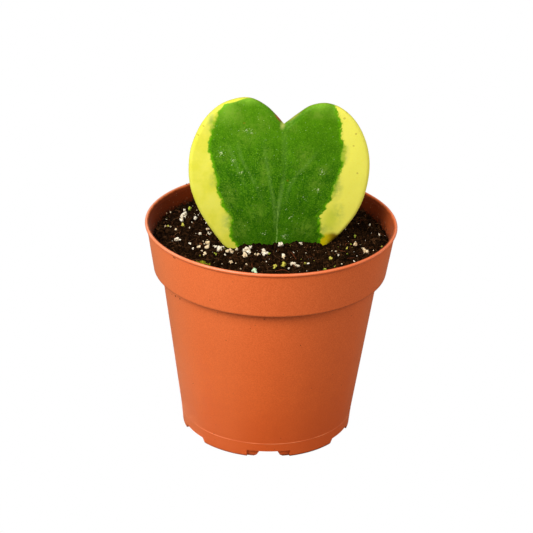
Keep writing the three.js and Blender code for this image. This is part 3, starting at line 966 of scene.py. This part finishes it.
def blade():
    """Points, faces and closeness to the margin of the blade and stalk.

    The rows of points follow the outline, round the margin and close on the midrib.
    """
    outline = heart_outline()
    count, steps = len(outline), LEAF.steps_per_side
    rib_index = np.minimum(np.arange(count), count - np.arange(count))
    rib_length = LEAF.midrib_foot - LEAF.midrib_top
    rib_up = LEAF.midrib_top + rib_length * (rib_index / steps) ** 1.5
    midrib = np.stack([midrib_across(rib_up), rib_up], -1)
    rib = midrib[: steps + 1]

    points, faces, margins = [leaf_points(outline, np.zeros(count))], [], [np.ones(count)]
    first = count
    for side in (1, -1):
        rings = [np.arange(count)]
        for row, (flat, half) in enumerate(blade_rows(outline, midrib)):
            points.append(leaf_points(flat, side * face_distance(flat, half)))
            margins.append(np.full(count, max(0, 1 - (row + 1) / MARGIN_ROWS)))
            rings.append(first + np.arange(count))
            first += count
        points.append(leaf_points(rib, side * face_distance(rib, LEAF.half_thickness)))
        margins.append(np.zeros(steps + 1))
        rings.append(first + rib_index)
        first += steps + 1
        for outer, nearer in zip(rings, rings[1:]):
            for i in range(count):
                j = (i + 1) % count
                corners = [outer[i], outer[j], nearer[j], nearer[i]]
                corners = list(dict.fromkeys(int(corner) for corner in corners))
                faces.append(tuple(corners if side > 0 else reversed(corners)))
    return np.concatenate(points), faces, np.concatenate(margins)


def root(index):
    """One root, which leaves the end of the stalk, fans out and runs down into the mix."""
    heading = 2 * math.pi * (index + 0.3) / ROOTS.count
    length = 1 + 0.25 * math.sin(index * 2.4)
    course = [(0, 0, 0), (0.12, 0.22, 0), (0.5, 0.42, 0.25), (0.75, 0.7, -0.1), (1, 1, 0.15)]
    marks = []
    for out, down, bend in course:
        reach = ROOTS.spread * out
        side = (reach * math.cos(heading + bend), reach * math.sin(heading + bend))
        marks.append((*side, -ROOTS.drop * down))
    beginning = leaf_points(np.array([[0, ROOTS.start]]), 0)
    marks = beginning + np.array(marks) * length
    share = np.linspace(0, 1, ROOTS.steps)
    ends = np.linspace(0, 1, len(marks))
    path = np.stack([np.interp(share, ends, marks[:, k]) for k in range(3)], -1)
    for _ in range(4):
        path[1:-1] = (path[:-2] + 2 * path[1:-1] + path[2:]) / 4
    return tube(path, np.full(len(path), ROOTS.radius), ROOTS.sides)


def build_leaf():
    points, faces, margins = blade()
    points, faces = joined([(points, faces), *[root(index) for index in range(ROOTS.count)]])
    leaf = make_piece("hoya_leaf", points, faces, leaf_skin())
    values = np.zeros(len(points))
    values[: len(margins)] = margins
    give_values(leaf, MARGIN, values)
    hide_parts("leaf")


# ---------------------------------------------------------------- potting mix

TONE = "tone"  # a number at each point of a crumb or fibre: 0 for dark, 1 for light


def leaf_line_distance(x, y):
    """Distance from the line along which the leaf meets the mix."""
    from_foot = np.stack([x - LEAF.foot[0], y - LEAF.foot[1]], -1)
    along = LEVEL[:2]
    reach = np.clip(from_foot @ along, -LEAF.base_half_width, LEAF.base_half_width)
    return np.linalg.norm(from_foot - reach[..., None] * along, axis=-1)


def hump(height, distance, spread):
    return height * np.exp(-((distance / spread) ** 2))


def mix_height(x, y):
    """Height of the lumpy surface of the mix."""
    lumps = (
        0.3 * np.sin(0.27 * x + 1.3) * np.sin(0.24 * y + 0.4)
        + 0.35 * np.sin(0.55 * x - 0.2 * y + 2) * np.sin(0.5 * y + 0.3 * x)
        + 0.25 * np.sin(0.9 * x + 0.35 * y) * np.sin(0.8 * y - 0.4 * x + 1)
    )
    mound = hump(MIX.mound, leaf_line_distance(x, y), MIX.mound_spread)
    heaps = sum(hump(height, np.hypot(x - u, y - v), spread) for u, v, height, spread in HEAPS)
    return MIX.level + MIX.rise * y + lumps + mound + heaps


def crumble(x, y):
    """The small relief of the surface: crumbs 1 to 3 mm across with clefts between them."""
    relief = []
    for a, b in zip(x, y):
        swirl = 0.5 * noise.noise_vector(Vector((a / 3, b / 3, 2.2)))
        nearest, next_nearest = noise.voronoi(Vector((a / 2, b / 2, 0.4)) + swirl)[0][:2]
        cleft = min(1, 2.4 * (next_nearest - nearest))
        fine = noise.fractal(Vector((a / 1.3, b / 1.3, 3.1)), 0.7, 2.1, 4)
        relief.append(0.75 * cleft - 0.5 + 0.4 * fine)
    return np.array(relief)


def bed_height(x, y):
    return mix_height(x, y) + crumble(x, y)


def damp_look(name, dark, light, tone_of_piece=True):
    """Damp dark stuff, each crumb or fibre a little lighter or darker than the next."""
    s = Shader(name)
    grit = s.noise(0.4, roughness=0.7)
    if tone_of_piece:
        tone = s.attribute(TONE)
    else:
        tone = s.span(s.noise(1.6, 4, 0.75), 0.44, 0.74)
    tone = s.math("ADD", s.span(grit, 0.4, 0.75) * 0.35, tone * 0.8, clamp=True)
    return s.finish(
        Base_Color=s.mix(tone, dark, light),
        Roughness=0.8,
        Normal=s.bump(grit, 0.3),
        Specular_IOR_Level=0.02,
    )


def matt(name, light, dark):
    """A plain matt stuff of two close colours with a fine rough surface."""
    s = Shader(name)
    return s.finish(
        Base_Color=s.mix(s.span(s.noise(0.8), 0.3, 0.7), dark, light),
        Roughness=0.85,
        Normal=s.bump(s.noise(0.8 / 3, 2), 0.12),
        Specular_IOR_Level=0.3,
    )


def build_bed(material):
    """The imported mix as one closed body, with the crumbly surface on top."""
    gap, steps = MIX.gap, MIX.round_steps
    angles = round_angles(steps)
    rings = []
    edge = collar_inner_radius(MIX.level - MIX.edge_depth) - gap
    for index in range(MIX.rings):
        radius = edge * (index + 1) / MIX.rings
        x, y = radius * np.cos(angles), radius * np.sin(angles)
        rings.append(np.stack([x, y, bed_height(x, y)], -1))
    clear = POT.wall + gap
    ledge = POT.collar_foot_height + clear
    wall_points = [
        (collar_inner_radius(ledge) - gap, ledge),
        (POT.body_top_radius - clear, ledge),
        (POT.mould_line_radius - clear, POT.floor_top + MIX.bevel),
        (POT.mould_line_radius - clear - MIX.bevel, POT.floor_top + gap),
    ]
    for radius, height in wall_points:
        flat = np.full(steps, height)
        rings.append(np.stack([radius * np.cos(angles), radius * np.sin(angles), flat], -1))
    top = [0, 0, bed_height(np.zeros(1), np.zeros(1))[0]]
    bottom = [0, 0, POT.floor_top + gap]
    points = np.concatenate([*rings, [top], [bottom]])
    top_index, bottom_index = len(points) - 2, len(points) - 1
    last = (len(rings) - 1) * steps
    faces = []
    for i in range(steps):
        j = (i + 1) % steps
        faces.append((top_index, i, j))
        for inner in range(0, last, steps):
            outer = inner + steps
            faces.append((inner + i, outer + i, outer + j, inner + j))
        faces.append((bottom_index, last + j, last + i))
    bed = make_piece("mix_bed", points, faces, material)
    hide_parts("potting_mix")


def scatter(radii, random):
    """Places for pieces of given radii on the mix, clear of the leaf and the wall."""
    wall = collar_inner_radius(MIX.level)
    places = []
    for radius in radii:
        while True:
            reach = (wall - radius * 0.8) * math.sqrt(random.random())
            angle = 2 * math.pi * random.random()
            x, y = reach * math.cos(angle), reach * math.sin(angle)
            if leaf_line_distance(x, y) > LEAF.half_thickness + radius * 0.6:
                break
        places.append((x, y))
    return np.array(places).T


def lumpy_pieces(places, radii, flatness, subdivisions, random, roughness=0.25, stretch=(0.7, 1.25)):
    """Points and faces of many lumpy stones, each with its own shape and turn."""
    directions, triangles = ball(subdivisions)
    count = len(radii)
    waves = random.normal(size=(count, 3, 3)) * 1.6
    phases = random.random((count, 3)) * 2 * math.pi
    swell = np.sin(np.einsum("cwk,vk->cvw", waves, directions) + phases[:, None]).sum(-1)
    scale = random.uniform(*stretch, (count, 1, 3))
    scale[:, 0, 2] *= flatness
    shapes = directions * (1 + roughness * swell)[..., None] * scale
    turned = np.einsum("cij,cvj->cvi", random_turns(count, random), shapes) * radii[:, None, None]
    points = (turned + places[:, None]).reshape(-1, 3)
    return points, repeat_faces(triangles, len(directions), count)


def make_scattered(name, points, faces, material, tones, smooth=False):
    """A piece made of as many like parts as there are tones."""
    piece = make_piece(name, points, faces, material, smooth)
    give_values(piece, TONE, np.repeat(tones, len(points) // len(tones)))


def build_crumbs(name, material, seed, count, sizes, subdivisions, stretch=(0.5, 1.4)):
    """Crumbs whose radii lie between two sizes, most of them near the smaller."""
    random = np.random.default_rng(seed)
    radii = sizes[0] + (sizes[1] - sizes[0]) * random.random(count) ** 2
    x, y = scatter(radii, random)
    z = bed_height(x, y) + radii * random.uniform(-0.3, 0.6, count)
    flatness = random.uniform(0.35, 1, count)
    places = np.stack([x, y, z], -1)
    points, faces = lumpy_pieces(places, radii, flatness, subdivisions, random, 0.28, stretch)
    tones = random.random(count) ** 3 * np.clip(1.2 - radii, 0.25, 1)
    make_scattered(name, points, faces, material, tones)


def build_fibres(name, material, seed, count, lengths, thickness):
    """Fine roots, twigs and fibres that lie over the crumbs."""
    random = np.random.default_rng(seed)
    wall = collar_inner_radius(MIX.level) - 0.5
    share = np.linspace(-0.5, 0.5, 9)
    parts = []
    for middle in scatter(np.full(count, 1.5), random).T:
        length = random.uniform(*lengths)
        heading = random.uniform(0, 2 * math.pi)
        turn = heading + random.uniform(-1.4, 1.4) * share
        step = length / len(share)
        flat = middle + np.cumsum(np.stack([np.cos(turn), np.sin(turn)], -1), axis=0) * step
        x, y = (flat * np.minimum(1, wall / np.linalg.norm(flat, axis=1))[:, None]).T
        lift = 0.1 + random.uniform(0, 0.8) * np.sin(math.pi * (share + 0.5))
        path = np.stack([x, y, mix_height(x, y) + 0.25 + lift], -1)
        radius = random.uniform(*thickness) * (1 - 1.2 * np.abs(share))
        parts.append(tube(path, radius, 4))
    make_scattered(name, *joined(parts), material, random.random(count), smooth=True)


def popcorn(width, lobes, random):
    """One puffed grain: the skin round several overlapping balls, seen from its middle."""
    directions, triangles = ball(3)
    skin = np.full(len(directions), 0.4)
    for _ in range(lobes):
        heading = random.normal(size=3) * (1, 1, 0.7)
        heading /= np.linalg.norm(heading)
        centre = heading * random.uniform(0.3, 0.7)
        size = random.uniform(0.24, 0.46)
        along = directions @ centre
        inside = along**2 - centre @ centre + size**2
        skin = np.maximum(skin, along + np.sqrt(np.maximum(inside, 0)) * (inside > 0))
    shift = Vector(random.random(3) * 9)
    for index, direction in enumerate(directions):
        coarse = noise.noise(Vector(direction) * 2.5 + shift)
        fine = noise.noise(Vector(direction) * 6 + shift)
        skin[index] *= 1 + 0.22 * (coarse + 0.6 * fine)
    points = directions * skin[:, None] @ random_turns(1, random)[0].T
    span = np.ptp(points[:, :2], axis=0).max()
    return points * width / span, triangles.tolist()


# Grains placed one by one: x, y, width and kind.
GRAINS = [
    (-35.9, 22.4, 1.2, "white"), (-35.7, 17.1, 2.4, "white"), (-36.5, 15.3, 2.4, "white"),
    (-36.8, 13.5, 1.8, "white"), (-33.8, 24.5, 1.6, "green"), (-31.1, 14.4, 1.6, "white"),
    (-32.4, 10.8, 0.7, "white"), (-33.3, 7.9, 0.7, "white"), (-43.3, 20.3, 0.8, "cream"),
    (-41.7, 21.3, 0.8, "cream"), (-43.1, 8.5, 0.8, "cream"), (-42.1, 8.8, 1, "yellow"),
    (-41, 7.9, 0.7, "cream"), (-35.8, 8.9, 1.6, "yellow"), (-38.9, 5.8, 1.2, "cream"),
    (-28.8, 1.4, 2.2, "white"), (-25.8, 5.9, 1.5, "cream"), (-25.1, 2.5, 1.7, "white"),
    (-27.3, 13.9, 0.8, "white"), (-26.6, 11.3, 0.9, "white"), (-38.6, -3.7, 1.4, "white"),
    (-37.9, -3.3, 1.6, "white"), (-36.9, -3.4, 1.3, "white"), (-32.4, -7.4, 1.2, "white"),
    (-31, -11.1, 0.9, "white"), (-28.7, -9.3, 1.6, "cream"), (-25.1, -7.1, 2, "cream"),
    (-25.6, -10, 2, "cream"), (-26.2, -15.3, 1.6, "cream"), (-27.4, -12.2, 0.8, "cream"),
    (-21.9, -8, 1.7, "white"), (-20.6, -10.2, 2.8, "white"), (-19.5, -8.1, 1.9, "white"),
    (-22.8, -7.4, 0.8, "white"), (-22, -15.3, 1.2, "green"), (-17.1, -13.2, 1.6, "cream"),
    (-16, -11, 2.1, "cream"), (-15.3, -13, 1.4, "cream"), (-18.1, -14.8, 0.9, "white"),
    (-15.6, -21.9, 1.8, "cream"), (-13.6, -8, 1.4, "cream"), (-9.3, -22.4, 1, "cream"),
    (-10.4, -16, 2.3, "cream"), (-9.7, -11.9, 2.7, "white"), (-8.5, -13.4, 1.9, "white"),
    (-8.1, -9.4, 1.6, "white"), (3.9, -7, 2.3, "white"), (-2.5, -13.6, 2.9, "white"),
    (-1.4, -13.7, 1.6, "white"), (-0.3, -14.1, 1.3, "green"), (-4.9, -14.8, 1.4, "cream"),
    (-6.2, -13.6, 1.2, "cream"), (5.4, -14.8, 1.5, "white"), (5.2, -16.4, 1.6, "cream"),
    (9.3, -12.5, 0.7, "white"), (12, -7.2, 1.6, "white"), (2, -26.1, 1.7, "yellow"),
    (5.2, -23.7, 2.3, "yellow"), (8.6, -22.3, 1.9, "white"), (9.8, -22.5, 1.7, "white"),
    (10.9, -23.1, 1.9, "white"), (7.5, -25, 0.9, "white"), (13.8, -20.5, 1, "yellow"),
    (15.2, -20.7, 1.1, "white"), (23.8, -17.9, 1.9, "yellow"), (21.5, -25.6, 1.5, "green"),
    (25.9, -24, 1, "green"), (28.5, -21.2, 0.8, "white"), (33.4, -18.3, 0.9, "white"),
    (26.3, -10.4, 0.9, "white"), (27.2, -14.4, 0.8, "white"), (30.7, -7.2, 1, "yellow"),
    (30.8, -13.3, 1, "green"), (27, -6.9, 0.9, "green"), (34.3, 4.6, 1.4, "green"),
    (34, -4.7, 1.8, "cream"), (32.4, -3.9, 0.8, "green"), (36.9, -9.2, 1.9, "cream"),
    (37.7, -9.9, 1.7, "cream"), (38.7, -10.7, 1.8, "cream"), (40.6, 14.1, 1.3, "white"),
    (44.3, 5.3, 1.3, "white"), (30.5, 10.8, 0.8, "white"), (45, -3.5, 0.8, "yellow"),
    (-6, -29.6, 2.3, "mint"),
]


def build_grains(looks):
    """The larger grains, each sunk a little in the mix, in one piece for each colour."""
    random = np.random.default_rng(11)
    parts = {kind: [] for kind in looks}
    for x, y, width, kind in GRAINS:
        points, faces = popcorn(width, 4 + int(width * 2), random)
        ground = mix_height(x, y)
        parts[kind].append((points + (x, y, ground + 0.25 + width * 0.28), faces))
    for kind, material in looks.items():
        points, faces = joined(parts[kind])
        make_piece(f"grains_{kind}", points, faces, material, smooth=False)


def build_specks(looks):
    """Many tiny grains over the whole surface."""
    for index, (kind, count) in enumerate({"white": 150, "yellow": 60, "cream": 110}.items()):
        random = np.random.default_rng(40 + index)
        radii = 0.12 + 0.26 * random.random(count) ** 2.2
        x, y = scatter(radii, random)
        places = np.stack([x, y, bed_height(x, y) + radii * 0.8], -1)
        points, faces = lumpy_pieces(places, radii, 0.8, 1, random, 0.18)
        make_piece(f"specks_{kind}", points, faces, looks[kind], smooth=False)


# Crumbs that stick to the pot's outside: degrees from the front, height and width.
STUCK_CRUMBS = [
    (-48.8, 88, 0.6), (-48, 87.9, 0.5), (-58.9, 66, 0.55), (-63.4, 65.3, 0.4),
    (-54.2, 66.3, 0.4), (-58.2, 59.7, 0.45), (-73.2, 46.5, 0.4), (-9.5, 62.5, 0.4),
    (-23.1, 55, 0.35), (-2.2, 67.3, 0.4), (-28.7, 74.1, 0.3), (17.7, 54.4, 0.3),
    (-51.5, 27.3, 0.35), (38, 68.6, 0.4), (120, 75, 0.5), (165, 58, 0.4),
    (-134.5, 90, 0.5), (-136, 90, 0.4),
]


def build_stuck_crumbs(material):
    random = np.random.default_rng(17)
    places = []
    for degrees, height, _ in STUCK_CRUMBS:
        angle, radius = math.radians(degrees), pot_radius(height)
        places.append((radius * math.sin(angle), -radius * math.cos(angle), height))
    radii = np.array([width / 2 for *_, width in STUCK_CRUMBS])
    points, faces = lumpy_pieces(np.array(places), radii, 0.8, 2, random)
    make_scattered("crumbs_on_pot", points, faces, material, np.full(len(radii), 0.25))


def build_moss(material):
    """A small tuft of moss by the wall at the front left: short leaflets that stick up."""
    random = np.random.default_rng(21)
    along, off = MOSS.along
    share = np.linspace(0, 1, 4)
    parts = []
    for _ in range(MOSS.leaflets):
        a, b = random.normal(0, 1, 2) * (1.5, 0.6)
        x, y = MOSS.place[0] + a * along - b * off, MOSS.place[1] + a * off + b * along
        ground = mix_height(x, y) + 0.2
        lean = random.normal(0, 0.35, 2)
        height = random.uniform(0.4, 1)
        path = np.stack([x + lean[0] * share, y + lean[1] * share, ground + height * share], -1)
        parts.append(tube(path, MOSS.radius * (1 - 0.7 * share), 4))
    points, faces = joined(parts)
    make_piece("moss", points, faces, material)


def build_mix():
    build_bed(damp_look("mix_bed", (11, 5, 2), (52, 32, 16), tone_of_piece=False))
    dark = damp_look("mix_crumb", (14, 7, 2), (86, 55, 31))
    brown = damp_look("mix_bark", (42, 22, 10), (126, 80, 50))
    build_crumbs("crumbs_fine", dark, seed=1, count=7000, sizes=(0.2, 0.75), subdivisions=1)
    build_crumbs("crumbs_large", dark, seed=2, count=900, sizes=(0.5, 1.2), subdivisions=2)
    splinters = {"sizes": (0.2, 0.7), "subdivisions": 1, "stretch": (0.3, 1.9)}
    build_crumbs("crumbs_bark", brown, seed=3, count=600, **splinters)
    fibre = damp_look("fibre", (40, 23, 12), (128, 90, 58))
    twig = damp_look("twig", (54, 26, 14), (118, 62, 38))
    build_fibres("fibres", fibre, seed=4, count=300, lengths=(2, 7), thickness=(0.04, 0.1))
    build_fibres("twigs", twig, seed=5, count=50, lengths=(2.5, 7), thickness=(0.1, 0.2))
    looks = {
        "white": matt("perlite_white", (252, 245, 228), (206, 190, 160)),
        "cream": matt("perlite_cream", (244, 226, 190), (186, 156, 116)),
        "yellow": matt("granule_yellow", (220, 214, 96), (150, 140, 40)),
        "green": matt("granule_green", (186, 196, 70), (104, 124, 24)),
        "mint": matt("granule_mint", (214, 240, 204), (160, 196, 150)),
    }
    build_grains(looks)
    build_specks(looks)
    build_stuck_crumbs(brown)
    build_moss(matt("moss", (176, 178, 20), (86, 92, 8)))


# ---------------------------------------------------------------- camera, light and floor


def place_camera():
    elevation, roll = math.radians(CAMERA.elevation), math.radians(CAMERA.roll)
    forward = Vector((0, math.cos(elevation), -math.sin(elevation)))
    level, steep = Vector((1, 0, 0)), Vector((0, math.sin(elevation), math.cos(elevation)))
    right = level * math.cos(roll) + steep * math.sin(roll)
    above = steep * math.cos(roll) - level * math.sin(roll)
    data = bpy.data.cameras.new("camera")
    data.lens = CAMERA.lens
    data.sensor_width = 36
    data.clip_start, data.clip_end = 0.05, 20
    camera = link(bpy.data.objects.new("camera", data))
    turn = Matrix((right, above, -forward)).transposed().to_4x4()
    place = (Vector(CAMERA.target) - forward * CAMERA.distance) * MM
    camera.matrix_world = Matrix.Translation(place) @ turn
    bpy.context.scene.camera = camera


def area_light(name, place, size, power, colour, target=(0, 0, 60), spread=180):
    data = bpy.data.lights.new(name, "AREA")
    data.spread = math.radians(spread)
    data.shape = "DISK"
    data.size = size * MM
    data.energy = power
    data.color = colour
    light = link(bpy.data.objects.new(name, data))
    light.location = Vector(place) * MM
    light.rotation_mode = "QUATERNION"
    light.rotation_quaternion = (Vector(place) - Vector(target)).to_track_quat("Z", "Y")


def place_lights():
    """A key light from the front left, a fill from the right, and both sides of the pot."""
    warm = (1, 0.93, 0.83)
    area_light("key", (-235, -275, 335), size=240, power=1.84, colour=(1, 0.98, 0.94))
    area_light("fill", (330, -420, 460), size=300, power=0.75, colour=warm)
    area_light("left_side", (-520, -20, 90), size=260, power=0.2, colour=(0.8, 1, 1.2))
    area_light(
        "left_low", (-430, -60, 16), size=60, power=0.0036, colour=(0.7, 1, 1.4),
        target=(-30, -10, 4), spread=12,
    )
    area_light("right_side", (520, 90, 90), size=260, power=0.29, colour=warm)


def surround():
    """White to the camera, and a softer warm light on everything else."""
    world = bpy.data.worlds.new("surround")
    bpy.context.scene.world = world
    world.use_nodes = True
    nodes, links = world.node_tree.nodes, world.node_tree.links
    backdrop, ambient = nodes["Background"], nodes.new("ShaderNodeBackground")
    for node, colour, strength in (
        (backdrop, (1, 1, 1, 1), 1),
        (ambient, (1, 0.96, 0.9, 1), 0.72),
    ):
        node.inputs["Color"].default_value = colour
        node.inputs["Strength"].default_value = strength
    rays = nodes.new("ShaderNodeLightPath")
    either = nodes.new("ShaderNodeMixShader")
    links.new(rays.outputs["Is Camera Ray"], either.inputs[0])
    links.new(ambient.outputs[0], either.inputs[1])
    links.new(backdrop.outputs[0], either.inputs[2])
    links.new(either.outputs[0], nodes["World Output"].inputs["Surface"])


def build_floor():
    """A floor that is white to the camera and throws a little light on the pot."""
    s = Shader("white_floor")
    seen = s.node("LightPath", "Is Camera Ray")
    material = s.finish(
        Base_Color=s.mix(seen, (111.3, 109, 104.6), (0, 0, 0)),
        Roughness=0.9,
        Specular_IOR_Level=0,
        Emission_Color=(1, 1, 1, 1),
        Emission_Strength=seen,
    )
    half = 3000
    corners = ((-half, -half), (half, -half), (half, half), (-half, half))
    points = [(x, y, -0.02) for x, y in corners]
    mesh = make_mesh("floor", points, [(0, 1, 2, 3)])
    mesh.materials.append(material)
    floor = link(bpy.data.objects.new("floor", mesh))


# ---------------------------------------------------------------- the dressed plant

noise.seed_set(1)  # for noise_vector in crumble, which would start from the clock
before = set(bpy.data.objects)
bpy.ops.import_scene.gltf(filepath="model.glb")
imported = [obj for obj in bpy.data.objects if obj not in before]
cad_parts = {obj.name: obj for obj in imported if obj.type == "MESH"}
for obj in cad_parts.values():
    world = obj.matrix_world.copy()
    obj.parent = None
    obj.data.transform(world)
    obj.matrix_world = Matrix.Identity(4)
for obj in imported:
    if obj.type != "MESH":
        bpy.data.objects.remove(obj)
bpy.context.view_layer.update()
bpy.context.scene.view_settings.view_transform = "Standard"
place_camera()
place_lights()
surround()
build_floor()
build_pot()
build_mix()
build_leaf()
